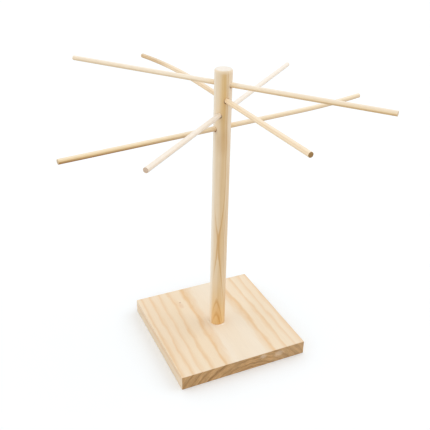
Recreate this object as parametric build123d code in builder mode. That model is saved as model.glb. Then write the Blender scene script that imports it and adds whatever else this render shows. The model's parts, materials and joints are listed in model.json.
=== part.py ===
from build123d import *
from math import cos, degrees, radians, sin, tan
import os

# A free-standing rack for drying fresh pasta: a square board, a round post standing on it and
# four loose rods pushed crosswise through the post, one above the other.
# Sizes are in millimetres and angles in degrees. Z is up, Y runs along the board's grain, and
# the origin is the middle of the board's underside.

# The board
board_side = 200.0
board_thickness = 22.0
board_edge = 1.0  # easing of all its edges
socket_floor = 9.0  # wood left under the post's foot

# The post
post_diameter = 24.0
post_rise = 404.0  # from the board's top face to the post's top
post_top_edge = 1.8  # rounding of the rim at its top
post_foot_edge = 0.8  # easing of the rim at its foot
glue_gap = 0.1  # between the foot's side and the socket's wall

# The rods
rod_diameter = 7.0
rod_edge = 0.4  # easing of both ends
rod_running_gap = 0.05  # between a rod and the wall of its hole
top_rod_drop = 20.0  # from the post's top to the top rod's middle line
rod_pitch = 20.0  # from one rod's height to the next

# Each rod is sawn to its own length. How it stands in its hole is the heading of its longer side,
# turned from X, and how far the rod's middle is pushed out of the post's axis that way.
top_rod_length = 469.0
top_rod_heading = 128.0
top_rod_push = 8.0
second_rod_length = 475.0
second_rod_heading = 91.9
second_rod_push = 32.8
third_rod_length = 475.0
third_rod_heading = 41.1
third_rod_push = 32.9
lowest_rod_length = 479.0
lowest_rod_heading = 8.0
lowest_rod_push = 9.7

# Two rods have warped: past a distance from the post's axis each bends in one long arc. The tilt
# is how far the arc's plane dips below the horizontal, so that -90 curls a rod straight up.
second_bow_start = 70.0
second_bow_radius = 1610.0
second_bow_tilt = 39.0
lowest_bow_start = 130.0
lowest_bow_radius = 1470.0
lowest_bow_tilt = -90.0

# The screw
screw_length = 40.0
screw_head_diameter = 8.4
screw_head_angle = 90.0
screw_sink = 0.6  # how far its head lies inside the board's underside
screw_shank_diameter = 4.2
screw_core_diameter = 2.8
thread_pitch = 1.8
point_length = 3.6
screw_gap = 0.1  # between the screw and the wood round it
shank_gap = 0.2  # between the shank and the board's clearance hole
recess_width = 1.1
recess_span = 4.4
recess_depth = 1.9
recess_taper = 12.0

overrun = 1.0  # how far a cut runs past the wood

# Worked out from the sizes above
post_radius = post_diameter / 2
post_foot = socket_floor
post_top = board_thickness + post_rise
post_length = post_top - post_foot
socket_depth = board_thickness - socket_floor
rod_radius = rod_diameter / 2
bore_radius = rod_radius + rod_running_gap
screw_head_radius = screw_head_diameter / 2
screw_shank_radius = screw_shank_diameter / 2
screw_core_radius = screw_core_diameter / 2
head_slope = tan(radians(screw_head_angle / 2))
head_height = (screw_head_radius - screw_shank_radius) / head_slope
screw_tip = screw_sink + screw_length
thread_start = post_foot + thread_pitch
thread_turns = int((screw_tip - point_length - thread_start) / thread_pitch)
thread_end = thread_start + thread_turns * thread_pitch

# Each bow's start, radius and tilt, then each rod's name, length, heading, push and bow, from the
# top down
straight = None
second_bow = (second_bow_start, second_bow_radius, second_bow_tilt)
lowest_bow = (lowest_bow_start, lowest_bow_radius, lowest_bow_tilt)
rods = (
    ("top_rod", top_rod_length, top_rod_heading, top_rod_push, straight),
    ("second_rod", second_rod_length, second_rod_heading, second_rod_push, second_bow),
    ("third_rod", third_rod_length, third_rod_heading, third_rod_push, straight),
    ("lowest_rod", lowest_rod_length, lowest_rod_heading, lowest_rod_push, lowest_bow),
)


# The height of a rod's middle line, counted from 0 for the top rod
def rod_height(rank):
    return post_top - top_rod_drop - rank * rod_pitch


# A plane through the post's axis at a rod's height, with its X along the rod and its Y the way
# the rod bends, so that the rod's line is drawn flat in it
def rod_plane(rank, heading, tilt):
    along_x = cos(radians(heading))
    along_y = sin(radians(heading))
    dip = sin(radians(tilt))
    return Plane(
        origin=(0, 0, rod_height(rank)),
        x_dir=(along_x, along_y, 0),
        z_dir=(-along_y * dip, along_x * dip, cos(radians(tilt))),
    )


# Half of the screw's side outline above its head, as radius and height, grown by a gap. The
# thread is a row of ridges.
def screw_outline(gap):
    points = [
        (0, post_foot - overrun),
        (screw_shank_radius + gap, post_foot - overrun),
        (screw_shank_radius + gap, thread_start - thread_pitch / 2),
    ]
    for turn in range(thread_turns):
        root = thread_start + turn * thread_pitch
        points.append((screw_core_radius + gap, root))
        points.append((screw_shank_radius + gap, root + thread_pitch / 2))
    points.append((screw_core_radius + gap, thread_end))
    points.append((0, screw_tip + gap))
    return points


os.makedirs("parts", exist_ok=True)

# The board, with a blind socket for the post's foot and a countersunk hole beneath for the screw
with BuildPart() as base_board:
    with BuildSketch(Plane.XY):
        Rectangle(board_side, board_side)
    extrude(amount=board_thickness)
    fillet(base_board.edges(), board_edge)
    with BuildSketch(Plane.XY.offset(socket_floor)):
        Circle(post_radius + glue_gap)
    extrude(amount=socket_depth + overrun, mode=Mode.SUBTRACT)
    with Locations(Plane(base_board.faces().sort_by(Axis.Z)[0])):
        CounterSinkHole(
            radius=screw_shank_radius + shank_gap,
            counter_sink_radius=screw_head_radius + screw_gap + screw_sink * head_slope,
            depth=socket_floor + overrun,
            counter_sink_angle=screw_head_angle,
        )
base_board.part.label = "base_board"
export_step(base_board.part, "parts/base_board.step")

# The post, with a cross hole for each rod and the screw's hole up into its foot
with BuildPart() as post:
    with BuildSketch(Plane.XY.offset(post_foot)):
        Circle(post_radius)
    extrude(amount=post_length)
    fillet(post.edges().group_by(Axis.Z)[-1], post_top_edge)
    chamfer(post.edges().group_by(Axis.Z)[0], post_foot_edge)
    for rank, (rod_name, rod_length, heading, push, bow) in enumerate(rods):
        with BuildSketch(Plane(origin=(0, 0, rod_height(rank)), z_dir=rod_plane(rank, heading, 0).x_dir)):
            Circle(bore_radius)
        extrude(amount=post_radius + overrun, both=True, mode=Mode.SUBTRACT)
    with BuildSketch(Plane.XZ):
        with BuildLine():
            Polyline(screw_outline(screw_gap), close=True)
        make_face()
    revolve(axis=Axis.Z, mode=Mode.SUBTRACT)
post.part.label = "post"
export_step(post.part, "parts/post.step")

# The screw that draws the post down onto the board, with a cross recess in its head
with BuildPart() as base_screw:
    with BuildSketch(Plane.XZ):
        with BuildLine():
            Polyline(
                [(0, screw_sink), (screw_head_radius, screw_sink)]
                + [(screw_shank_radius, screw_sink + head_height)]
                + screw_outline(0)[2:],
                close=True,
            )
        make_face()
    revolve(axis=Axis.Z)
    with BuildSketch(Plane.XY.offset(screw_sink)):
        Rectangle(recess_span, recess_width)
        Rectangle(recess_width, recess_span)
    extrude(amount=recess_depth, taper=recess_taper, mode=Mode.SUBTRACT)
base_screw.part.label = "base_screw"
export_step(base_screw.part, "parts/base_screw.step")

# The four loose rods. Each is one round dowel drawn along its middle line, from the end of its
# shorter side, through the post, to the end of its longer side.
for rank, (rod_name, rod_length, heading, push, bow) in enumerate(rods):
    short_end = push - rod_length / 2
    long_end = push + rod_length / 2
    bow_start, bow_radius, bow_tilt = bow or (long_end, 0, 0)
    line_plane = rod_plane(rank, heading, bow_tilt)
    with BuildPart() as rod:
        with BuildLine(line_plane):
            Line((short_end, 0), (bow_start, 0))
            if bow:
                JernArc((bow_start, 0), (1, 0), bow_radius, degrees((long_end - bow_start) / bow_radius))
        with BuildSketch(Plane(line_plane.from_local_coords((short_end, 0)), z_dir=line_plane.x_dir)):
            Circle(rod_radius)
        sweep()
        fillet(rod.faces().filter_by(GeomType.PLANE).edges(), rod_edge)
    rod.part.label = rod_name
    export_step(rod.part, f"parts/{rod_name}.step")
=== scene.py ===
import json
from math import asin, atan2, cos, pi, radians, sin, sqrt

import bmesh
import bpy
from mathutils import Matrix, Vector


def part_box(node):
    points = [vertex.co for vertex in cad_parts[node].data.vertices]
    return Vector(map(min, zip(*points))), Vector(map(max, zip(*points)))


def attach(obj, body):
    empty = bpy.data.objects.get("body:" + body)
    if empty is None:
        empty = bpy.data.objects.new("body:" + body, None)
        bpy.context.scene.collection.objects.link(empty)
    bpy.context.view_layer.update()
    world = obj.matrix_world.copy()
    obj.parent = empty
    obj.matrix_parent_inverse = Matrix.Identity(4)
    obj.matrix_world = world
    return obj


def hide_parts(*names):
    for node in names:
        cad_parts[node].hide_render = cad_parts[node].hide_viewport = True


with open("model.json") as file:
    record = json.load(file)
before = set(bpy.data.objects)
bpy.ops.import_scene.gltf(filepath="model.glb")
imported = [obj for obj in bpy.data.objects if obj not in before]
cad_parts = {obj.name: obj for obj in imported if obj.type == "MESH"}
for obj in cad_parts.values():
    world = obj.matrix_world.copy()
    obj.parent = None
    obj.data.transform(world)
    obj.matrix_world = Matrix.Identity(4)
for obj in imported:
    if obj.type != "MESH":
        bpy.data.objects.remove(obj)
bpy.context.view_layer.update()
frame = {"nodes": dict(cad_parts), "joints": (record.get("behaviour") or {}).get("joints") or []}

# A rack for drying fresh pasta: a square pine board, a round post glued and screwed into it, and
# four loose dowels pushed crosswise through the post. Metres; Z up, Y along the board's grain.
millimetre = 0.001


# Colours are noted as a picture shows them, 0 to 255, and shaders want them linear
def tone(red, green, blue):
    def linear(level):
        share = level / 255
        return share / 12.92 if share <= 0.04045 else ((share + 0.055) / 1.055) ** 2.4
    return (linear(red), linear(green), linear(blue), 1.0)


# One output of a node, reckoned with like a number
class Flow:
    def __init__(self, tree, socket):
        self.tree = tree
        self.socket = socket

    def __add__(self, other):
        return reckon("ADD", self, other)

    def __radd__(self, other):
        return reckon("ADD", other, self)

    def __sub__(self, other):
        return reckon("SUBTRACT", self, other)

    def __rsub__(self, other):
        return reckon("SUBTRACT", other, self)

    def __mul__(self, other):
        return reckon("MULTIPLY", self, other)

    def __rmul__(self, other):
        return reckon("MULTIPLY", other, self)

    def __truediv__(self, other):
        return reckon("DIVIDE", self, other)


def put(tree, kind, plugs=None, pick=0, **settings):
    node = tree.nodes.new(kind)
    for key, value in settings.items():
        setattr(node, key, value)
    for key, value in (plugs or {}).items():
        plug(tree, node.inputs[key], value)
    return Flow(tree, node.outputs[pick])


def plug(tree, socket, value):
    if isinstance(value, Flow):
        tree.links.new(value.socket, socket)
    else:
        socket.default_value = value


def reckon(operation, *values):
    tree = next(value.tree for value in values if isinstance(value, Flow))
    return put(tree, "ShaderNodeMath", dict(enumerate(values)), operation=operation)


def vectorReckon(operation, *values):
    tree = next(value.tree for value in values if isinstance(value, Flow))
    pick = 1 if operation in ("DOT_PRODUCT", "LENGTH", "DISTANCE") else 0
    plugs = dict(enumerate(values))
    if operation == "SCALE":
        plugs = {0: values[0], 3: values[1]}
    return put(tree, "ShaderNodeVectorMath", plugs, pick, operation=operation)


def smooth(value, start, end, low=0.0, high=1.0):
    plugs = {"Value": value, "From Min": start, "From Max": end, "To Min": low, "To Max": high}
    return put(value.tree, "ShaderNodeMapRange", plugs, interpolation_type="SMOOTHSTEP")


def straight(value, start, end):
    return put(value.tree, "ShaderNodeMapRange", {"Value": value, "From Min": start, "From Max": end})


def combine(tree, x, y, z):
    return put(tree, "ShaderNodeCombineXYZ", {0: x, 1: y, 2: z})


def axisOf(vector, axis):
    return put(vector.tree, "ShaderNodeSeparateXYZ", {0: vector}, "XYZ".index(axis))


# Noise whose marks are so wide across the grain and so long along it
def noise(place, across, along, detail, roughness, seed):
    squeeze = (1 / across, 1 / across, 1 / along)
    spot = vectorReckon("MULTIPLY_ADD", place, squeeze, (seed, seed * 1.7, -seed))
    plugs = {"Vector": spot, "Scale": 1.0, "Detail": detail, "Roughness": roughness}
    return put(place.tree, "ShaderNodeTexNoise", plugs, "Fac")


def blend(share, first, second, way="MIX"):
    plugs = {0: share, 6: first, 7: second}
    return put(share.tree, "ShaderNodeMix", plugs, 2, data_type="RGBA", blend_type=way)


def newMaterial(name):
    material = bpy.data.materials.new(name)
    material.use_nodes = True
    material.node_tree.nodes.clear()
    return material, material.node_tree


def showSurface(tree, shader, kind="Material"):
    output = tree.nodes.new("ShaderNodeOutput" + kind)
    tree.links.new(shader.socket, output.inputs["Surface"])


# The marks in wood: how wide and how long each is in millimetres, its detail, its roughness, and
# what it adds to the wood's seed, so that no two marks run alike
grainMarks = {
    "wander": (38.0, 150.0, 2.0, 0.5, 0.0),
    "ripple": (11.0, 38.0, 3.0, 0.5, 3.0),
    "streak": (1.3, 60.0, 3.0, 0.6, 5.0),
    "fibre": (0.28, 14.0, 3.0, 0.65, 7.0),
    "canal": (0.5, 7.0, 1.0, 0.4, 9.0),
    "cloud": (26.0, 120.0, 2.0, 0.5, 11.0),
    "pits": (0.16, 3.0, 3.0, 0.6, 13.0),
    "patch": (12.0, 45.0, 2.0, 0.5, 15.0),
    "mottle": (2.2, 40.0, 3.0, 0.6, 17.0),
    "lines": (0.8, 16.0, 2.0, 0.6, 19.0),
}


# How far each point lies from the pith, which wanders along the trunk, and how far to its side
def findRings(look, along, outward, sideways, mark):
    up = outward - look["pithOut"] + along * look["dip"]
    if "waist" in look:
        waist = look["waist"]
        below = reckon("MAXIMUM", waist["height"] - along, 0.0)
        up = up + below * below * waist["belowGrowth"]
        riseEnd = waist["height"] + waist["aboveReach"]
        up = up + smooth(along, waist["height"], riseEnd, 0.0, waist["aboveRise"])
    side = sideways - look["pithSide"] - along * look["lean"]
    if "crowding" in look:  # the trunk grew more slowly on this side
        side = side * (1.0 + smooth(side, 30.0, 60.0, 0.0, look["crowding"]))
    radius = reckon("SQRT", up * up + side * side)
    if "pinch" in look:  # rings drawn to a point over the pith line
        radius = radius - reckon("ABSOLUTE", side) * look["pinch"]
    radius = radius + (mark("wander") - 0.5) * look["wander"]
    radius = radius + (mark("ripple") - 0.5) * look["ripple"]
    knots = []
    for knot in look.get("knots", ()):
        turned = radians(knot["turn"])
        beside = side * cos(turned) - up * sin(turned)
        ahead = (along - knot["along"]) * knot["squash"]
        away = reckon("SQRT", beside * beside + ahead * ahead)
        knots.append((knot, away))
        radius = radius + smooth(away, 0.0, knot["radius"] * 5, knot["radius"] * 0.9, 0.0)
    return radius, side, knots


# Each late band comes on slowly from its pith side and stops sooner on its bark side
def paintRings(look, radius, side, streak, patch):
    tree = radius.tree
    first, last = look["span"]
    ramp = tree.nodes.new("ShaderNodeValToRGB")
    ramp.color_ramp.interpolation = "EASE"
    plug(tree, ramp.inputs[0], straight(radius, first, last))
    early = look["early"]
    stops = []
    for order, (middle, width, strength) in enumerate(look["rings"]):
        before = early[min(order, len(early) - 1)]
        after = early[min(order + 1, len(early) - 1)]
        stops.append((middle - 1.0 * width, before, 0.0))
        stops.append((middle - 0.35 * width, before, 0.6 * strength))
        stops.append((middle + 0.05 * width, after, strength))
        stops.append((middle + 0.7 * width, after, 0.0))
    while len(ramp.color_ramp.elements) < len(stops):
        ramp.color_ramp.elements.new(1.0)
    for element, (spot, colour, share) in zip(ramp.color_ramp.elements, stops):
        element.position = (spot - first) / (last - first)
        element.color = (*colour[:3], share)
    late = reckon("POWER", Flow(tree, ramp.outputs["Alpha"]), look["crisp"])
    late = reckon("MINIMUM", late * (0.35 + streak * 0.7 + patch * 0.6), 1.0)
    if "fade" in look:  # rings fainter on one side
        fade = look["fade"]
        late = late * smooth(side, fade["start"], fade["end"], fade["least"], 1.0)
    return late, blend(late, Flow(tree, ramp.outputs["Color"]), look["late"])


# Soft spots on the wood, each with its own place, size and tone; some are painted shade or a painted
# highlight
def daub(colour, place, spots, wobble):
    for spot in spots:
        offset = vectorReckon("DIVIDE", vectorReckon("SUBTRACT", place, spot["place"]), spot["size"])
        away = vectorReckon("LENGTH", offset) + (wobble - 0.5) * spot["ragged"]
        share = smooth(away, 0.25, 1.0, spot["strength"], 0.0)
        colour = blend(share, colour, spot["tone"], spot.get("way", "MIX"))
    return colour


# Solid wood. Its rings lie round a pith line and its fibres run along it, so that faces and end
# grain cut from one block agree. Lengths in a look are millimetres.
def makeWood(name, look):
    material, tree = newMaterial(name)
    onPath = "run" in look  # a rod's grain follows its own line, which may bend
    if onPath:
        place = put(tree, "ShaderNodeAttribute", pick="Vector", attribute_name="grain")
    else:
        place = put(tree, "ShaderNodeTexCoord", pick="Object")
    place = vectorReckon("SCALE", place, 1 / millimetre)
    along = vectorReckon("DOT_PRODUCT", place, look["along"])
    outward = vectorReckon("DOT_PRODUCT", place, look["outward"])
    sideways = vectorReckon("DOT_PRODUCT", place, look["sideways"])
    grain = combine(tree, outward, sideways, along)

    def mark(kind, where=grain):
        across, length, detail, roughness, shift = grainMarks[kind]
        return noise(where, across, length, detail, roughness, look["seed"] + shift)

    radius, side, knots = findRings(look, along, outward, sideways, mark)
    streak, patch = mark("streak"), mark("patch")
    late, colour = paintRings(look, radius, side, streak, patch)

    # broad tint, then fibres, then resin canals
    cloud = mark("cloud")
    colour = blend(smooth(cloud, 0.3, 0.7, 0.0, look["cloud"]), colour, look["blush"], "MULTIPLY")
    fibre = mark("fibre")
    shade = (streak - 0.5) * look["streak"] + (fibre - 0.5) * look["fibre"] + 1.0
    colour = vectorReckon("SCALE", colour, shade)
    canal = smooth(mark("canal"), 0.69, 0.76) * (late * 0.7 + 0.3)
    colour = blend(canal * look["canals"], colour, look["resin"])

    facing = put(tree, "ShaderNodeTexCoord", pick="Normal")
    drift = 0.0
    if "drift" in look:  # the wood changes slowly along its length
        change = look["drift"]
        drift = smooth(along + (cloud - 0.5) * change["ragged"], change["start"], change["end"])
        colour = blend(drift, colour, change["tint"], "MULTIPLY")
    if "paintedShading" in look:  # painted shade along a stick's lower side, partly darker wood, and a painted highlight along its top
        paintedShading = look["paintedShading"]
        low = smooth(axisOf(facing, "Z") + (streak - 0.5) * 0.5, paintedShading["from"], paintedShading["to"])
        low = low * (paintedShading["least"] + drift * paintedShading["more"])
        colour = blend(low, colour, paintedShading["tint"], "MULTIPLY")
        high = smooth(axisOf(facing, "Z"), 0.25, 1.0, 0.0, paintedShading["highlightShare"])
        colour = blend(high, colour, paintedShading["highlightTone"])
    if "postShade" in look:  # painted shade and golden bounce light from the post, where a rod enters its hole
        postShade = look["postShade"]
        reach = reckon("ABSOLUTE", along) + (streak - 0.5) * postShade["ragged"]
        shadedNearPost = smooth(reach, postShade["from"], postShade["to"], 1.0, 0.0)
        colour = blend(shadedNearPost * postShade["strength"], colour, postShade["tint"], "MULTIPLY")
    for knot, away in knots:
        ragged = away + (fibre - 0.5) * knot["radius"] * 1.2
        share = smooth(ragged, knot["radius"] * 0.5, knot["radius"] * 1.5, knot["strength"], 0.0)
        colour = blend(share, colour, knot["tone"])
    colour = daub(colour, place, look.get("blots", ()), streak)

    # sawn ends soak up the light
    turned = vectorReckon("DOT_PRODUCT", facing, look["run"] if onPath else look["along"])
    cutShare = smooth(reckon("ABSOLUTE", turned), 0.45, 0.92)
    ends = look["ends"]
    pits, mottle = mark("pits"), mark("mottle")
    lines = mark("lines", combine(tree, radius, along * 0.1, side))
    cut = blend(late * ends["arcs"], ends["tint"], ends["arcTint"])
    if "glow" in ends:
        cut = blend(smooth(mottle, 0.45, 0.75, 0.0, ends["glow"]), cut, ends["glowTint"])
    uneven = (pits - 0.5) * ends["pits"] + (patch - mottle) * ends["mottle"] + (lines - 0.5) * ends["lines"]
    cut = vectorReckon("SCALE", cut, uneven + 1.0)
    colour = blend(cutShare * ends["strength"], colour, cut)
    boreShade = 0.0
    if "bores" in look:  # painted shade on the walls of its holes
        bores = look["bores"]
        fromAxis = vectorReckon("LENGTH", combine(tree, outward, sideways, 0.0))
        boreShade = smooth(fromAxis, bores["radius"], bores["radius"] - 0.5)
        boreShade = boreShade * smooth(along, bores["top"], bores["top"] - 2.0)
        colour = blend(boreShade, colour, bores["tint"])
    colour = daub(colour, place, look.get("smears", ()), mottle)

    rough = look["roughness"] + (fibre - 0.5) * 0.18 - late * 0.07 + cutShare * 0.12 + boreShade * 0.4
    height = fibre * 0.5 + streak * 0.35 + late * look["ridge"] - canal * 0.5 + pits * cutShare * 1.4
    bump = put(tree, "ShaderNodeBump", {"Strength": look["relief"], "Distance": 0.0002, "Height": height})
    showSurface(tree, put(tree, "ShaderNodeBsdfPrincipled", {
        "Base Color": colour, "Roughness": rough, "Normal": bump, "IOR": 1.45,
        "Specular IOR Level": 0.4, "Sheen Weight": look["sheen"], "Sheen Roughness": 0.4,
    }))
    return material


# A geometry tree with its named inputs
def newTree(name, sockets):
    tree = bpy.data.node_groups.new(name, "GeometryNodeTree")
    tree.interface.new_socket(name="Geometry", in_out="INPUT", socket_type="NodeSocketGeometry")
    for label, kind in sockets.items():
        tree.interface.new_socket(name=label, in_out="INPUT", socket_type="NodeSocket" + kind)
    tree.interface.new_socket(name="Material", in_out="INPUT", socket_type="NodeSocketMaterial")
    tree.interface.new_socket(name="Geometry", in_out="OUTPUT", socket_type="NodeSocketGeometry")
    entry = tree.nodes.new("NodeGroupInput")
    return tree, {socket.name: Flow(tree, socket) for socket in entry.outputs if socket.name}


sharpAngle = radians(32)  # edges that turn more than this keep a crease


# Every tree ends alike: instances made real, smooth shading but for sharp edges, one material
def endTree(tree, geometry, material):
    real = put(tree, "GeometryNodeRealizeInstances", {0: geometry})
    angle = put(tree, "GeometryNodeInputMeshEdgeAngle")
    crease = reckon("GREATER_THAN", angle, sharpAngle)
    soft = put(tree, "GeometryNodeSetShadeSmooth", {"Geometry": real, "Shade Smooth": True}, domain="FACE")
    sharp = put(tree, "GeometryNodeSetShadeSmooth", {
        "Geometry": soft, "Selection": crease, "Shade Smooth": False}, domain="EDGE")
    dressed = put(tree, "GeometryNodeSetMaterial", {"Geometry": sharp, "Material": material})
    leave = tree.nodes.new("NodeGroupOutput")
    tree.links.new(dressed.socket, leave.inputs[0])


# An object's mesh with its modifiers applied
def settled(item):
    graph = bpy.context.evaluated_depsgraph_get()
    return bpy.data.meshes.new_from_object(
        item.evaluated_get(graph), preserve_all_data_layers=True, depsgraph=graph)


# Runs a tree on a mesh and keeps the result as the piece's plain mesh
def shape(name, tree, values, start=None):
    maker = bpy.data.objects.new(name, start or bpy.data.meshes.new(name))
    bpy.context.scene.collection.objects.link(maker)
    modifier = maker.modifiers.new("shape", "NODES")
    modifier.node_group = tree
    for item in tree.interface.items_tree:
        if item.in_out == "INPUT" and item.name in values:
            modifier[item.identifier] = values[item.name]
    mesh = settled(maker)
    maker.modifiers.remove(modifier)
    maker.data = mesh
    mesh.name = name
    return maker


def storeVector(tree, geometry, name, value):
    plugs = {"Geometry": geometry, "Name": name, "Value": value}
    return put(tree, "GeometryNodeStoreNamedAttribute", plugs, data_type="FLOAT_VECTOR")


def recallVector(tree, name):
    return put(tree, "GeometryNodeInputNamedAttribute", {"Name": name}, data_type="FLOAT_VECTOR")


# A round stick along a line that may bend away in one long arc past a point. Its ends are eased,
# and its grain attribute holds the place along and across it.
def makeStickTree():
    tree, ask = newTree("roundStick", {
        "Near End": "Float", "Far End": "Float", "Radius": "Float", "Near Easing": "Float",
        "Far Easing": "Float", "Bow Start": "Float", "Bow Radius": "Float", "Run": "Vector",
        "Bend": "Vector", "Height": "Float", "Rings": "Int", "Sides": "Int", "Easing Rings": "Int",
        "Unevenness": "Float", "Seed": "Float",
    })
    line = put(tree, "GeometryNodeCurvePrimitiveLine", {"End": (1.0, 0.0, 0.0)})
    line = put(tree, "GeometryNodeResampleCurve", {"Curve": line, "Count": ask["Rings"]})
    order = put(tree, "GeometryNodeInputIndex")
    final = ask["Rings"] - 1.0
    steps = ask["Easing Rings"]
    inNear = reckon("LESS_THAN", order, final * 0.5)
    easing = ask["Near Easing"] * inNear + ask["Far Easing"] * (1.0 - inNear)
    swing = reckon("MINIMUM", reckon("MINIMUM", order, final - order), steps) / steps * (pi / 2)
    inset = easing * (1.0 - reckon("COSINE", swing))
    radius = ask["Radius"] - easing * (1.0 - reckon("SINE", swing))
    middle = put(tree, "ShaderNodeMapRange", {
        "Value": order, "From Min": steps, "From Max": final - steps,
        "To Min": ask["Near End"] + ask["Near Easing"], "To Max": ask["Far End"] - ask["Far Easing"],
    })
    place = middle + (inset - ask["Near Easing"]) * inNear + (ask["Far Easing"] - inset) * (1.0 - inNear)
    past = reckon("MAXIMUM", place - ask["Bow Start"], 0.0)
    angle = past / ask["Bow Radius"]
    along = reckon("MINIMUM", place, ask["Bow Start"]) + ask["Bow Radius"] * reckon("SINE", angle)
    aside = ask["Bow Radius"] * (1.0 - reckon("COSINE", angle))
    along = vectorReckon("SCALE", ask["Run"], along)
    aside = vectorReckon("SCALE", ask["Bend"], aside)
    spot = vectorReckon("ADD", along, aside)
    spot = vectorReckon("ADD", spot, combine(tree, 0.0, 0.0, ask["Height"]))
    line = storeVector(tree, line, "reach", combine(tree, place, radius, 0.0))
    line = put(tree, "GeometryNodeSetPosition", {"Geometry": line, "Position": spot})
    line = put(tree, "GeometryNodeSetCurveRadius", {"Curve": line, "Radius": radius})
    circle = put(tree, "GeometryNodeCurvePrimitiveCircle", {"Resolution": ask["Sides"], "Radius": 1.0})
    circle = storeVector(tree, circle, "rim", put(tree, "GeometryNodeInputPosition"))
    skin = put(tree, "GeometryNodeCurveToMesh", {
        "Curve": line, "Profile Curve": circle, "Scale": put(tree, "GeometryNodeInputRadius"),
        "Fill Caps": True})
    reach, rim = recallVector(tree, "reach"), recallVector(tree, "rim")
    across = axisOf(reach, "Y")
    grain = combine(tree, axisOf(reach, "X"), axisOf(rim, "X") * across, axisOf(rim, "Y") * across)
    skin = storeVector(tree, skin, "grain", grain)
    # its skin dips unevenly, in shapes that are long along it
    spread = vectorReckon("MULTIPLY", recallVector(tree, "grain"), (35.0, 160.0, 160.0))
    wave = put(tree, "ShaderNodeTexNoise", {
        "Vector": spread, "W": ask["Seed"], "Scale": 1.0, "Detail": 2.0}, "Fac", noise_dimensions="4D")
    sink = vectorReckon("SCALE", put(tree, "GeometryNodeInputNormal"), wave * ask["Unevenness"] * -1.0)
    skin = put(tree, "GeometryNodeSetPosition", {"Geometry": skin, "Offset": sink})
    for spent in ("reach", "rim"):
        skin = put(tree, "GeometryNodeRemoveAttribute", {"Geometry": skin, "Name": spent})
    endTree(tree, skin, ask["Material"])
    return tree


# Cuts copies of one cutter out of a piece, one at each point of another mesh, turned as the
# point says. Copies that cross each other need the slower cut.
def makeCutTree():
    tree, ask = newTree("cutAway", {"Cutter": "Object", "Places": "Object", "Crossing": "Bool"})
    cutter = put(tree, "GeometryNodeObjectInfo", {"Object": ask["Cutter"]}, "Geometry")
    places = put(tree, "GeometryNodeObjectInfo", {"Object": ask["Places"]}, "Geometry")
    copies = put(tree, "GeometryNodeInstanceOnPoints", {
        "Points": places, "Instance": cutter, "Rotation": recallVector(tree, "turned")})
    copies = put(tree, "GeometryNodeRealizeInstances", {0: copies})
    cut = put(tree, "GeometryNodeMeshBoolean", {
        "Mesh 1": ask["Geometry"], "Mesh 2": copies, "Self Intersection": ask["Crossing"],
    }, operation="DIFFERENCE", solver="EXACT")
    endTree(tree, cut, ask["Material"])
    return tree


# A slab whose twelve edges and eight corners are eased, more in some places than in others
def makeSlabTree():
    tree, ask = newTree("easedSlab", {
        "Size": "Vector", "Cells": "Vector", "Edge Cells": "Float", "Edge": "Float", "Wear": "Float"})
    half = vectorReckon("SCALE", ask["Size"], 0.5)
    cells = ask["Cells"]
    cube = put(tree, "GeometryNodeMeshCube", {
        "Size": (2.0, 2.0, 2.0), "Vertices X": axisOf(cells, "X") + 1.0,
        "Vertices Y": axisOf(cells, "Y") + 1.0, "Vertices Z": axisOf(cells, "Z") + 1.0})
    place = put(tree, "GeometryNodeInputPosition")
    side = vectorReckon("SIGN", place)
    out = vectorReckon("ABSOLUTE", place)
    edgeCells = combine(tree, ask["Edge Cells"], ask["Edge Cells"], ask["Edge Cells"])
    flatShare = vectorReckon("SUBTRACT", (1.0, 1.0, 1.0),
                             vectorReckon("DIVIDE", vectorReckon("SCALE", edgeCells, 2.0), cells))
    edge = combine(tree, ask["Edge"], ask["Edge"], ask["Edge"])
    flat = vectorReckon("SUBTRACT", half, edge)
    onFlat = vectorReckon("MINIMUM", vectorReckon("DIVIDE", out, flatShare), (1.0, 1.0, 1.0))
    onFlat = vectorReckon("MULTIPLY", onFlat, flat)
    onEdge = vectorReckon("MAXIMUM", vectorReckon("SUBTRACT", out, flatShare), (0.0, 0.0, 0.0))
    onEdge = vectorReckon("DIVIDE", onEdge, vectorReckon("SUBTRACT", (1.0, 1.0, 1.0), flatShare))
    onEdge = vectorReckon("MULTIPLY", onEdge, edge)
    block = vectorReckon("ADD", onFlat, onEdge)
    spot = vectorReckon("MULTIPLY", block, side)
    rub = put(tree, "ShaderNodeTexNoise", {"Vector": spot, "Scale": 45.0, "Detail": 3.0}, "Fac")
    easing = ask["Edge"] * (1.0 - ask["Wear"] * rub)
    core = vectorReckon("SUBTRACT", half, combine(tree, easing, easing, easing))
    core = vectorReckon("MULTIPLY", vectorReckon("MINIMUM", block, core), side)
    way = vectorReckon("NORMALIZE", vectorReckon("SUBTRACT", spot, core))
    spot = vectorReckon("ADD", core, vectorReckon("SCALE", way, easing))
    lift = combine(tree, 0.0, 0.0, axisOf(half, "Z"))
    spot = vectorReckon("ADD", spot, lift)
    slab = put(tree, "GeometryNodeSetPosition", {"Geometry": cube, "Position": spot})
    endTree(tree, slab, ask["Material"])
    return tree


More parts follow.
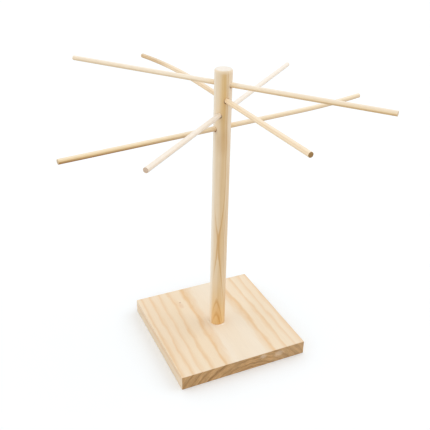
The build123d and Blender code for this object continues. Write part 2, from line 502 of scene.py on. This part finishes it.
# A wood screw from a grid wrapped round its axis: flat head, cone, shank and a thread that climbs
# one pitch a turn and runs out at the point
def makeScrewTree():
    tree, ask = newTree("woodScrew", {
        "Sink": "Float", "Rim": "Float", "Head Radius": "Float", "Shank Radius": "Float",
        "Core Radius": "Float", "Shank End": "Float", "Pitch": "Float", "Point": "Float", "Tip": "Float",
        "Rings": "Int", "Sides": "Int",
    })
    last = ask["Rings"] - 1.0
    grid = put(tree, "GeometryNodeMeshGrid", {
        "Size X": last, "Size Y": 1.0, "Vertices X": ask["Rings"], "Vertices Y": ask["Sides"] + 1.0})
    place = put(tree, "GeometryNodeInputPosition")
    order = axisOf(place, "X") + last * 0.5
    around = axisOf(place, "Y") + 0.5
    height = put(tree, "ShaderNodeMapRange", {
        "Value": order, "From Min": 2.0, "From Max": last,
        "To Min": ask["Sink"] + ask["Rim"], "To Max": ask["Tip"]})
    height = height - ask["Rim"] * reckon("LESS_THAN", order, 1.5)
    depth = ask["Shank Radius"] - ask["Core Radius"]
    neck = ask["Shank End"] + depth
    body = put(tree, "ShaderNodeMapRange", {
        "Value": height, "From Min": ask["Shank End"], "From Max": neck,
        "To Min": ask["Shank Radius"], "To Max": ask["Core Radius"]})
    taper = reckon("MINIMUM", (ask["Tip"] - height) / ask["Point"], 1.0)
    phase = reckon("FRACT", height / ask["Pitch"] - around)
    ridge = reckon("MAXIMUM", 1.0 - reckon("ABSOLUTE", phase * 2.0 - 1.0) * 1.7, 0.0)
    begun = straight(height, neck, neck + ask["Pitch"])
    cone = ask["Head Radius"] - reckon("MAXIMUM", height - ask["Sink"] - ask["Rim"], 0.0)
    cone = cone - ask["Rim"] * reckon("LESS_THAN", order, 1.5)
    radius = reckon("MAXIMUM", body * taper, cone) + depth * ridge * begun * reckon("SQRT", taper)
    radius = radius * reckon("GREATER_THAN", order, 0.5) * reckon("LESS_THAN", order, last - 0.5)
    angle = around * (2 * pi)
    spot = combine(tree, radius * reckon("COSINE", angle), radius * reckon("SINE", angle), height)
    skin = put(tree, "GeometryNodeSetPosition", {"Geometry": grid, "Position": spot})
    skin = put(tree, "GeometryNodeMergeByDistance", {"Geometry": skin, "Distance": 1e-6})
    skin = put(tree, "GeometryNodeFlipFaces", {"Mesh": skin})
    endTree(tree, skin, ask["Material"])
    return tree


# A closed turned shape from its outline, as pairs of radius and height from one end to the other
def turn(name, outline, sides):
    form = bmesh.new()
    loops = []
    for radius, height in outline:
        if radius == 0:
            loops.append([form.verts.new((0, 0, height))])
        else:
            angles = [step * 2 * pi / sides for step in range(sides)]
            spots = [(radius * cos(angle), radius * sin(angle), height) for angle in angles]
            loops.append([form.verts.new(spot) for spot in spots])
    for lower, upper in zip(loops, loops[1:]):
        for step in range(sides):
            after = (step + 1) % sides
            corners = [lower[step % len(lower)], lower[after % len(lower)],
                       upper[after % len(upper)], upper[step % len(upper)]]
            form.faces.new(list(dict.fromkeys(corners)))
    bmesh.ops.recalc_face_normals(form, faces=form.faces)
    return storeMesh(name, form)


def storeMesh(name, form):
    mesh = bpy.data.meshes.new(name)
    form.to_mesh(mesh)
    form.free()
    return mesh


def helper(mesh):
    item = bpy.data.objects.new(mesh.name, mesh)
    bpy.context.scene.collection.objects.link(item)
    return item


# Points for the cutters, each with the angles about X, Y and Z that its cutter is turned to
def makePlaces(name, places):
    mesh = bpy.data.meshes.new(name)
    mesh.from_pydata([place for place, angles in places], [], [])
    turned = mesh.attributes.new("turned", "FLOAT_VECTOR", "POINT")
    turned.data.foreach_set("vector", [angle for place, angles in places for angle in angles])
    return helper(mesh)


onAxis = [((0, 0, 0), (0, 0, 0))]  # one place, at the origin and not turned


def cutAway(name, piece, cutter, places, material, crossing=False):
    values = {"Cutter": cutter, "Places": places, "Crossing": crossing, "Material": material}
    mesh = piece.data
    bpy.data.objects.remove(piece)
    done = shape(name, cutTree, values, mesh)
    for spent in (cutter, places):
        bpy.data.objects.remove(spent)
    return done


# Wide faces keep their own flat shading beside narrow rounded edges
def evenShading(piece):
    modifier = piece.modifiers.new("flatFaces", "WEIGHTED_NORMAL")
    modifier.mode = "FACE_AREA"
    modifier.weight = 90
    modifier.keep_sharp = True
    piece.data = settled(piece)
    piece.modifiers.remove(modifier)


stickTree = makeStickTree()
cutTree = makeCutTree()
slabTree = makeSlabTree()
screwTree = makeScrewTree()
print("trees ready")


board = {
    "edge": 1.0 * millimetre,
    "wear": 0.45,  # share of the edge's easing that varies
    "cells": (90.0, 90.0, 18.0),
    "edgeCells": 4.0,
    "socketRadius": 12.1 * millimetre,
    "socketFloor": 9.0 * millimetre,
    "holeRadius": 2.3 * millimetre,
    "sinkRadius": 4.9 * millimetre,
    "sides": 96,
    "wood": {
        "along": (0, 1, 0), "outward": (0, 0, 1), "sideways": (1, 0, 0),
        "pithOut": -66.2, "pithSide": 11.5, "lean": 0.012, "dip": 0.0118, "crowding": 0.07,
        "seed": 4.0, "wander": 1.5, "ripple": 7.0, "crisp": 1.5,
        "span": (60.0, 145.0),
        "early": (tone(243, 229, 208),) * 4 + (tone(243, 225, 199), tone(243, 226, 201), tone(243, 225, 200)),
        "late": tone(234, 200, 156),
        "rings": (  # each late band's distance from the pith, width and strength
            (69.5, 2.6, 0.9), (76.0, 2.8, 0.9), (84.0, 2.6, 0.8), (95.5, 5.0, 0.98),
            (107.2, 4.0, 0.82), (117.2, 4.2, 0.68), (127.6, 5.2, 0.80), (138.6, 4.2, 0.78),
        ),
        "cloud": 0.35, "blush": tone(250, 243, 232),
        "streak": 0.09, "fibre": 0.10, "canals": 0.35, "resin": tone(196, 150, 104),
        "ends": {"tint": (0.575, 0.355, 0.165, 1), "arcTint": (0.345, 0.18, 0.064, 1), "arcs": 1.15,
                 "glow": 0.75, "glowTint": (0.65, 0.35, 0.13, 1), "strength": 1.0, "pits": 0.6,
                 "mottle": 0.5, "lines": 1.3},
        "roughness": 0.62, "ridge": 0.5, "relief": 0.5, "sheen": 0.05,
        "knots": (
            {"along": 65.0, "turn": -29.0, "radius": 1.1, "squash": 0.8, "strength": 0.8,
             "tone": tone(196, 150, 118)},
            {"along": 56.0, "turn": -29.5, "radius": 3.0, "squash": 0.5, "strength": 0.4,
             "tone": tone(228, 190, 154)},
        ),
        "blots": (
            {"place": (-75.0, 10.0, 11.0), "size": (75.0, 170.0, 90.0), "ragged": 0.1, "strength": 1.0,
             "tone": (0.99, 0.965, 0.93, 1), "way": "MULTIPLY"},
        ),
        "smears": (
            {"place": (30.0, -100.0, 17.0), "size": (8.0, 3.0, 4.8), "ragged": 1.0, "strength": 0.5,
             "tone": (0.86, 0.70, 0.52, 1)},
            {"place": (56.5, -100.0, 14.0), "size": (11.0, 3.0, 7.0), "ragged": 1.0, "strength": 0.5,
             "tone": (0.86, 0.70, 0.52, 1)},
            {"place": (2.0, -13.0, 22.0), "size": (8.0, 2.0, 2.0), "ragged": 1.2, "strength": 0.9,
             "tone": tone(255, 248, 236)},
            {"place": (84.0, -100.0, 12.0), "size": (60.0, 3.0, 20.0), "ragged": 0.6, "strength": 0.28,
             "tone": (0.67, 0.46, 0.26, 1)},
        ),
    },
}


def makeBoard():
    low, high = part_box("base_board")
    material = makeWood("planedPine", board["wood"])
    piece = shape("pineBoard", slabTree, {
        "Size": high - low, "Cells": board["cells"], "Edge Cells": board["edgeCells"],
        "Edge": board["edge"], "Wear": board["wear"], "Material": material})
    top = high.z + millimetre
    socket = turn("socketCutter", [(0, board["socketFloor"]), (board["socketRadius"], board["socketFloor"]),
                                   (board["socketRadius"], top), (0, top)], board["sides"])
    piece = cutAway("pineBoard", piece, helper(socket), makePlaces("socketPlace", onAxis), material)
    slope = board["sinkRadius"] - board["holeRadius"]
    hole = turn("holeCutter", [
        (0, -millimetre), (board["sinkRadius"] + millimetre, -millimetre), (board["holeRadius"], slope),
        (board["holeRadius"], board["socketFloor"] + millimetre), (0, board["socketFloor"] + millimetre),
    ], board["sides"])
    piece = cutAway("pineBoard", piece, helper(hole), makePlaces("holePlace", onAxis), material)
    evenShading(piece)
    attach(piece, "stand")
    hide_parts("base_board")
    print("board", len(piece.data.polygons), "faces")


rods = {
    "rings": 96, "sides": 32, "easingRings": 4,
    "radius": 3.5 * millimetre,
    "easing": 0.4 * millimetre,
    "unevenness": 0.05 * millimetre,
}

rodWood = {
    "along": (1, 0, 0),
    "pithOut": -15.5, "pithSide": 1.3, "lean": 0.004, "dip": 0.0, "wander": 1.1, "ripple": 0.6, "crisp": 1.0,
    "span": (10.0, 22.0),
    "rings": ((11.2, 1.0, 0.7), (13.0, 1.2, 0.8), (15.1, 1.1, 0.6), (17.0, 1.3, 0.8), (19.3, 1.1, 0.7)),
    "cloud": 0.4, "blush": tone(250, 243, 232),
    "streak": 0.10, "fibre": 0.12, "canals": 0.3, "resin": tone(196, 150, 104),
    "roughness": 0.52, "ridge": 0.4, "relief": 0.45, "sheen": 0.25,
    # painted shade and golden bounce light from the post, on each rod near its hole
    "postShade": {"from": 13.0, "to": 27.0, "ragged": 8.0, "strength": 0.5, "tint": (0.95, 0.84, 0.66, 1)},
}

rodEnds = {"arcs": 1.0, "lines": 0.2, "pits": 0.3, "mottle": 0.2}

# each rod's lower side gets painted shade, partly darker wood, and its top a painted highlight
rodLooks = {
    "top_rod": {
        "piece": "topDowel", "seed": 21.0, "spin": 20,
        "early": (tone(253, 240, 218),), "late": tone(242, 217, 180),
        "drift": {"start": 60.0, "end": -230.0, "ragged": 40.0, "tint": (0.96, 0.895, 0.775, 1)},
        "paintedShading": {"tint": (0.76, 0.65, 0.47, 1), "from": 0.3, "to": -0.65, "least": 0.5, "more": 0.5,
                  "highlightShare": 0.5, "highlightTone": tone(255, 251, 242)},
        "ends": {**rodEnds, "tint": tone(226, 204, 172), "arcTint": tone(206, 180, 146), "strength": 0.9},
    },
    "second_rod": {
        "piece": "secondDowel", "seed": 34.0, "spin": 75,
        "bow": {"start": 70 * millimetre, "radius": 1.610, "tilt": 39},
        "early": (tone(252, 232, 200),), "late": tone(241, 208, 163),
        "drift": {"start": 150.0, "end": 215.0, "ragged": 60.0, "tint": (0.78, 0.68, 0.53, 1)},
        "paintedShading": {"tint": (0.86, 0.80, 0.70, 1), "from": 0.1, "to": -0.8, "least": 0.55, "more": 0.4,
                  "highlightShare": 0.28, "highlightTone": tone(255, 248, 232)},
        "ends": {**rodEnds, "tint": tone(170, 132, 78), "arcTint": tone(150, 112, 62), "strength": 1.0},
    },
    "third_rod": {
        "piece": "thirdDowel", "seed": 47.0, "spin": 130,
        "early": (tone(252, 243, 231),), "late": tone(245, 228, 206),
        "drift": {"start": 20.0, "end": -150.0, "ragged": 40.0, "tint": (0.97, 0.945, 0.915, 1)},
        "paintedShading": {"tint": (0.76, 0.72, 0.67, 1), "from": 0.1, "to": -0.75, "least": 0.7, "more": 0.3,
                  "highlightShare": 0.42, "highlightTone": tone(255, 251, 243)},
        "ends": {**rodEnds, "tint": tone(222, 198, 174), "arcTint": tone(204, 176, 150), "strength": 1.0},
    },
    "lowest_rod": {
        "piece": "lowestDowel", "seed": 58.0, "spin": 250,
        "bow": {"start": 130 * millimetre, "radius": 1.470, "tilt": -90},
        "early": (tone(250, 232, 201),), "late": tone(238, 207, 163),
        "drift": {"start": 40.0, "end": -210.0, "ragged": 50.0, "tint": (0.96, 0.885, 0.70, 1)},
        "paintedShading": {"tint": (0.42, 0.25, 0.065, 1), "from": 0.55, "to": -0.5, "least": 0.25, "more": 0.75,
                  "highlightShare": 0.50, "highlightTone": tone(255, 247, 230)},
        "ends": {**rodEnds, "tint": tone(222, 198, 160), "arcTint": tone(200, 172, 132), "strength": 0.9},
    },
}


# Where a rod lies: its run, its two ends along it, and the height of its straight shorter side
def readRod(node):
    joint = next(item for item in frame["joints"] if item["child"] == node)
    run = Vector(joint["axis"]).normalized()
    points = [vertex.co for vertex in frame["nodes"][node].data.vertices]
    reaches = [point.dot(run) for point in points]
    heights = [point.z for point, reach in zip(points, reaches) if reach < 0]
    return run, min(reaches), max(reaches), (min(heights) + max(heights)) / 2


def makeRod(node, look):
    run, nearEnd, farEnd, height = readRod(node)
    bow = look.get("bow", {"start": farEnd, "radius": 1.0, "tilt": 0})
    if "bow" in look:  # its end has swung round, so its length is along the arc
        rim = bow["radius"] + rods["radius"] - rods["easing"]
        farEnd = bow["start"] + bow["radius"] * asin((farEnd - bow["start"]) / rim)
    tilt = radians(bow["tilt"])
    bend = Vector((-run.y, run.x, 0)) * cos(tilt) - Vector((0, 0, sin(tilt)))
    spin = radians(look["spin"])
    wood = {**rodWood, **look, "run": tuple(run)}
    wood["outward"] = (0, cos(spin), sin(spin))
    wood["sideways"] = (0, -sin(spin), cos(spin))
    material = makeWood(look["piece"] + "Pine", wood)
    piece = shape(look["piece"], stickTree, {
        "Near End": nearEnd, "Far End": farEnd, "Radius": rods["radius"],
        "Near Easing": rods["easing"], "Far Easing": rods["easing"],
        "Bow Start": bow["start"], "Bow Radius": bow["radius"], "Run": run, "Bend": bend,
        "Height": height, "Rings": rods["rings"], "Sides": rods["sides"],
        "Easing Rings": rods["easingRings"], "Unevenness": rods["unevenness"], "Seed": look["seed"],
        "Material": material})
    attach(piece, node)
    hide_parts(node)
    print(node, "from", round(nearEnd, 4), "to", round(farEnd, 4), "at", round(height, 4))


post = {
    "topEasing": 2.6 * millimetre,
    "footEasing": 0.8 * millimetre,
    "rings": 150, "sides": 72, "easingRings": 6,
    "unevenness": 0.04 * millimetre,
    "seed": 3.0,
    "boreRadius": 4.0 * millimetre,  # worn a little wider than the rods
    "boreEasing": 0.3 * millimetre,
    "boreSides": 48,
    "pilotRadius": 2.2 * millimetre,
    "pilotTop": 41.0 * millimetre,
    "pilotSides": 32,
    "wood": {
        "along": (0, 0, 1),
        "outward": (sin(radians(-33)), -cos(radians(-33)), 0),  # towards the hourglass in its grain
        "sideways": (cos(radians(-33)), sin(radians(-33)), 0),
        "pithOut": -40.0, "pithSide": 0.0, "lean": 0.0, "dip": 0.0,
        "waist": {"height": 175.0, "belowGrowth": 3.9e-4, "aboveRise": 2.7, "aboveReach": 85.0},
        "pinch": 0.08, "fade": {"start": -7.0, "end": -1.5, "least": 0.35},
        "seed": 12.0, "wander": 0.5, "ripple": 0.6, "crisp": 1.0,
        "span": (36.0, 64.0),
        "early": (tone(236, 214, 182),) * 4 + (tone(237, 216, 184), tone(237, 217, 186), tone(234, 210, 176)),
        "late": tone(214, 172, 112),
        "rings": ((40.0, 0.9, 0.6), (43.5, 0.8, 0.7), (46.5, 0.8, 0.6), (49.2, 0.7, 0.6), (51.95, 0.5, 0.8),
                  (56.6, 0.7, 0.6), (58.8, 0.8, 0.65), (61.4, 0.8, 0.6)),
        "cloud": 0.4, "blush": tone(250, 240, 224),
        "streak": 0.10, "fibre": 0.10, "canals": 0.35, "resin": tone(190, 142, 92),
        "ends": {"tint": tone(247, 241, 231), "arcTint": tone(234, 219, 198), "arcs": 1.0, "strength": 0.9,
                 "pits": 0.2, "mottle": 0.12, "lines": 0.3},
        "roughness": 0.55, "ridge": 0.5, "relief": 0.45, "sheen": 0.25,
        "drift": {"start": 120.0, "end": 28.0, "ragged": 30.0, "tint": (0.965, 0.80, 0.52, 1)},
        "blots": (
            {"place": (-5.8, -10.5, 178.0), "size": (4.0, 4.0, 20.0), "ragged": 0.4, "strength": 0.3,
             "tone": (0.98, 0.82, 0.58, 1), "way": "MULTIPLY"},
            # darker golden stripe down the dim front: partly grain, partly painted shade
            {"place": (-2.6, -11.7, 240.0), "size": (6.0, 6.0, 330.0), "ragged": 0.6, "strength": 0.9,
             "tone": (0.925, 0.83, 0.66, 1), "way": "MULTIPLY"},
            {"place": (-4.6, -11.1, 390.0), "size": (6.8, 6.8, 82.0), "ragged": 0.4, "strength": 0.9,
             "tone": (0.93, 0.82, 0.58, 1), "way": "MULTIPLY"},
            {"place": (6.3, -10.2, 365.0), "size": (5.5, 5.5, 100.0), "ragged": 0.3, "strength": 0.55,
             "tone": tone(244, 231, 212)},
            # painted shade at the post's foot
            {"place": (-1.7, -11.8, 32.0), "size": (4.5, 4.5, 15.0), "ragged": 0.3, "strength": 0.7,
             "tone": (0.95, 0.91, 0.78, 1), "way": "MULTIPLY"},
            {"place": (-12.0, 1.0, 225.0), "size": (8.6, 8.6, 400.0), "ragged": 0.3, "strength": 0.85,
             "tone": tone(246, 236, 218)},
            # painted shadow below the rods, partly darker wood
            {"place": (-3.0, -11.6, 328.0), "size": (14.0, 14.0, 26.0), "ragged": 0.4, "strength": 0.75,
             "tone": (0.90, 0.83, 0.74, 1), "way": "MULTIPLY"},
            {"place": (9.5, -7.5, 48.0), "size": (8.5, 8.5, 60.0), "ragged": 0.4, "strength": 0.7,
             "tone": (0.92, 0.88, 0.86, 1), "way": "MULTIPLY"},
            # paler top band: partly pale worn wood, partly a painted highlight on the rounded shoulder
            {"place": (0.0, 0.0, 426.0), "size": (60.0, 60.0, 6.5), "ragged": 0.25, "strength": 0.75,
             "tone": tone(247, 228, 200)},
        ),
        # painted shade on the bore walls
        "bores": {"radius": 11.9, "top": 422.0, "tint": (0.60, 0.28, 0.035, 1)},
    },
}


# A drill that also eases the rim it leaves on a round post: it flares where it breaks through
def makeDrill(postRadius):
    bore, easing, sides = post["boreRadius"], post["boreEasing"], post["boreSides"]
    beyond = 2 * millimetre
    form = bmesh.new()
    loops = []
    for end, past in ((-1, beyond), (-1, -easing), (1, -easing), (1, beyond)):
        loop = []
        for step in range(sides):
            angle = step * 2 * pi / sides
            skin = sqrt(postRadius ** 2 - (bore * cos(angle)) ** 2)
            radius = bore + easing + past
            loop.append(form.verts.new((end * (skin + past), radius * cos(angle), radius * sin(angle))))
        loops.append(loop)
    for one, other in zip(loops, loops[1:]):
        for step in range(sides):
            after = (step + 1) % sides
            form.faces.new((one[step], one[after], other[after], other[step]))
    for loop, way in ((loops[0], -1), (loops[-1], 1)):
        middle = form.verts.new((way * (postRadius + beyond), 0, 0))
        for step in range(sides):
            form.faces.new((loop[step], loop[(step + 1) % sides], middle))
    bmesh.ops.recalc_face_normals(form, faces=form.faces)
    return storeMesh("drill", form)


def makePost():
    low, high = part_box("post")
    radius = (high.x - low.x) / 2
    material = makeWood("sandedPine", post["wood"])
    piece = shape("pinePost", stickTree, {
        "Near End": low.z, "Far End": high.z, "Radius": radius,
        "Near Easing": post["footEasing"], "Far Easing": post["topEasing"],
        "Bow Start": high.z, "Bow Radius": 1.0, "Run": Vector((0, 0, 1)), "Bend": Vector((1, 0, 0)),
        "Height": 0.0, "Rings": post["rings"], "Sides": post["sides"],
        "Easing Rings": post["easingRings"], "Unevenness": post["unevenness"], "Seed": post["seed"],
        "Material": material})
    # a rod's longer side rests on its bore's floor and its shorter side is pressed to the roof
    lean = atan2(post["boreRadius"] - rods["radius"] - rods["unevenness"], radius)
    places = []
    for node in rodLooks:
        run, nearEnd, farEnd, height = readRod(node)
        places.append(((0, 0, height), (0, -lean, atan2(run.y, run.x))))
    piece = cutAway("pinePost", piece, helper(makeDrill(radius)), makePlaces("bores", places), material)
    pilot = turn("pilotCutter", [
        (0, low.z - millimetre), (post["pilotRadius"], low.z - millimetre),
        (post["pilotRadius"], post["pilotTop"] - 2 * post["pilotRadius"]), (0, post["pilotTop"]),
    ], post["pilotSides"])
    piece = cutAway("pinePost", piece, helper(pilot), makePlaces("pilotPlace", onAxis), material)
    evenShading(piece)
    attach(piece, "stand")
    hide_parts("post")
    print("post", len(piece.data.polygons), "faces")


screw = {
    "rim": 0.12 * millimetre,
    "shankRadius": 2.1 * millimetre,
    "coreRadius": 1.4 * millimetre,
    "shankEnd": 9.9 * millimetre,
    "pitch": 1.8 * millimetre,
    "point": 3.6 * millimetre,
    "rings": 230, "sides": 40,
    "recess": {"span": 2.2 * millimetre, "wing": 0.55 * millimetre, "depth": 1.9 * millimetre,
               "taper": 0.55, "askew": 0.3},
}


def makeSteel():
    material, tree = newMaterial("zincPlatedSteel")
    place = vectorReckon("SCALE", put(tree, "ShaderNodeTexCoord", pick="Object"), 1 / millimetre)
    cloud = noise(place, 1.6, 1.6, 3.0, 0.6, 2.0)
    scratch = noise(place, 0.12, 0.9, 3.0, 0.7, 5.0)
    colour = blend(smooth(cloud, 0.3, 0.7), tone(208, 206, 196), tone(226, 222, 206))
    colour = vectorReckon("SCALE", colour, (scratch - 0.5) * 0.16 + 1.0)
    rough = 0.30 + (cloud - 0.5) * 0.25 + (scratch - 0.5) * 0.2
    relief = scratch + cloud * 0.6
    bump = put(tree, "ShaderNodeBump", {"Strength": 0.25, "Distance": 0.0001, "Height": relief})
    showSurface(tree, put(tree, "ShaderNodeBsdfPrincipled", {
        "Base Color": colour, "Roughness": rough, "Metallic": 1.0, "Normal": bump}))
    return material


def makeScrew():
    low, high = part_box("base_screw")
    material = makeSteel()
    piece = shape("steelScrew", screwTree, {
        "Sink": low.z, "Rim": screw["rim"], "Head Radius": (high.x - low.x) / 2,
        "Shank Radius": screw["shankRadius"], "Core Radius": screw["coreRadius"],
        "Shank End": screw["shankEnd"], "Pitch": screw["pitch"], "Point": screw["point"], "Tip": high.z,
        "Rings": screw["rings"], "Sides": screw["sides"], "Material": material})
    turns = (screw["recess"]["askew"], screw["recess"]["askew"] + pi / 2)
    places = makePlaces("recessPlaces", [((0, 0, low.z), (0, 0, angle)) for angle in turns])
    wing = helper(makeWing(screw["recess"]))
    piece = cutAway("steelScrew", piece, wing, places, material, crossing=True)
    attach(piece, "stand")
    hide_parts("base_screw")
    print("screw", len(piece.data.polygons), "faces")


# One of the two crossed wings of the driver's recess, narrowing into the head
def makeWing(recess):
    form = bmesh.new()
    rings = []
    corners = ((-1, -1), (1, -1), (1, 1), (-1, 1))
    for height, share in ((-0.3 * millimetre, 1.0), (0.0, 1.0), (recess["depth"], recess["taper"])):
        span, wing = recess["span"] * share, recess["wing"] * share
        rings.append([form.verts.new((x * span, y * wing, height)) for x, y in corners])
    for lower, upper in zip(rings, rings[1:]):
        for step in range(4):
            after = (step + 1) % 4
            form.faces.new((lower[step], lower[after], upper[after], upper[step]))
    form.faces.new(rings[0])
    form.faces.new(rings[-1])
    bmesh.ops.recalc_face_normals(form, faces=form.faces)
    return storeMesh("recessWing", form)


makeBoard()
makePost()
makeScrew()
for rodNode, rodLook in rodLooks.items():
    makeRod(rodNode, rodLook)
print("rack dressed")


studio = {
    "floorHalf": 6.0,
    "floorDrop": 0.05 * millimetre,  # so that the board's underside doesn't flicker against it
    "floorTone": (0.60, 0.60, 0.60, 1),  # how much the floor gives back to the rack
    "floorSeen": (0.95, 0.98, 1.0, 1),  # and how the camera finds it, so that the shadow is deep and cool
    "floorGlow": 0.05,
    "sky": {"around": 1.2, "above": 0.63},  # a pale room, dimmer overhead
    "suns": {
        "right": {"toward": (0.666, -0.058, 0.743), "strength": 0.19, "spread": 50},
        "left": {"toward": (-0.74, 0.20, 0.643), "strength": 0.12, "spread": 60},
    },
}


# 1 for what the camera sees, directly or by gloss and glass, and 0 for what only lights the rack
def seenRays(tree):
    rays = tree.nodes.new("ShaderNodeLightPath")
    kinds = [Flow(tree, rays.outputs["Is " + kind + " Ray"]) for kind in ("Camera", "Glossy", "Transmission")]
    return reckon("MAXIMUM", reckon("MAXIMUM", kinds[0], kinds[1]), kinds[2])


def makeFloor():
    half = studio["floorHalf"]
    corners = [(-half, -half, 0), (half, -half, 0), (half, half, 0), (-half, half, 0)]
    mesh = bpy.data.meshes.new("floor")
    mesh.from_pydata(corners, [], [(0, 1, 2, 3)])
    floor = helper(mesh)
    material, tree = newMaterial("whitePaper")
    seen = seenRays(tree)
    paper = blend(seen, studio["floorTone"], studio["floorSeen"])
    matt = put(tree, "ShaderNodeBsdfDiffuse", {"Color": paper})
    glow = put(tree, "ShaderNodeEmission", {"Strength": seen * studio["floorGlow"]})
    showSurface(tree, put(tree, "ShaderNodeAddShader", {0: matt, 1: glow}))
    mesh.materials.append(material)
    floor.location.z = -studio["floorDrop"]


def makeSky():
    world = bpy.data.worlds.new("studio")
    world.use_nodes = True
    tree = world.node_tree
    tree.nodes.clear()
    seen = seenRays(tree)
    toward = put(tree, "ShaderNodeTexCoord", pick="Generated")
    room = smooth(axisOf(toward, "Z"), 0.0, 1.0, studio["sky"]["around"], studio["sky"]["above"])
    strength = room + seen * (1.0 - room)
    sky = put(tree, "ShaderNodeBackground", {"Color": (1, 1, 1, 1), "Strength": strength})
    showSurface(tree, sky, "World")
    bpy.context.scene.world = world


def makeSuns():
    for name, sun in studio["suns"].items():
        light = bpy.data.lights.new(name + "Softbox", "SUN")
        light.energy = sun["strength"] * pi  # a strength of 1 lights a facing white surface to white
        light.angle = radians(sun["spread"])
        lamp = bpy.data.objects.new(name + "Softbox", light)
        lamp.rotation_euler = Vector(sun["toward"]).to_track_quat("Z", "Y").to_euler()
        bpy.context.scene.collection.objects.link(lamp)


camera = {
    "lens": 53.195,
    "place": (-0.34955, -0.72515, 0.65071),
    "turn": (61.3723, -1.1457, -24.6210),
}


def makeCamera():
    lens = bpy.data.cameras.new("camera")
    lens.lens = camera["lens"]
    lens.sensor_width = 36
    lens.clip_start, lens.clip_end = 0.01, 50
    body = bpy.data.objects.new("camera", lens)
    body.location = camera["place"]
    body.rotation_euler = [radians(angle) for angle in camera["turn"]]
    bpy.context.scene.collection.objects.link(body)
    bpy.context.scene.camera = body


makeFloor()
makeSky()
makeSuns()
makeCamera()
bpy.context.scene.view_settings.view_transform = "Standard"
print("studio set")
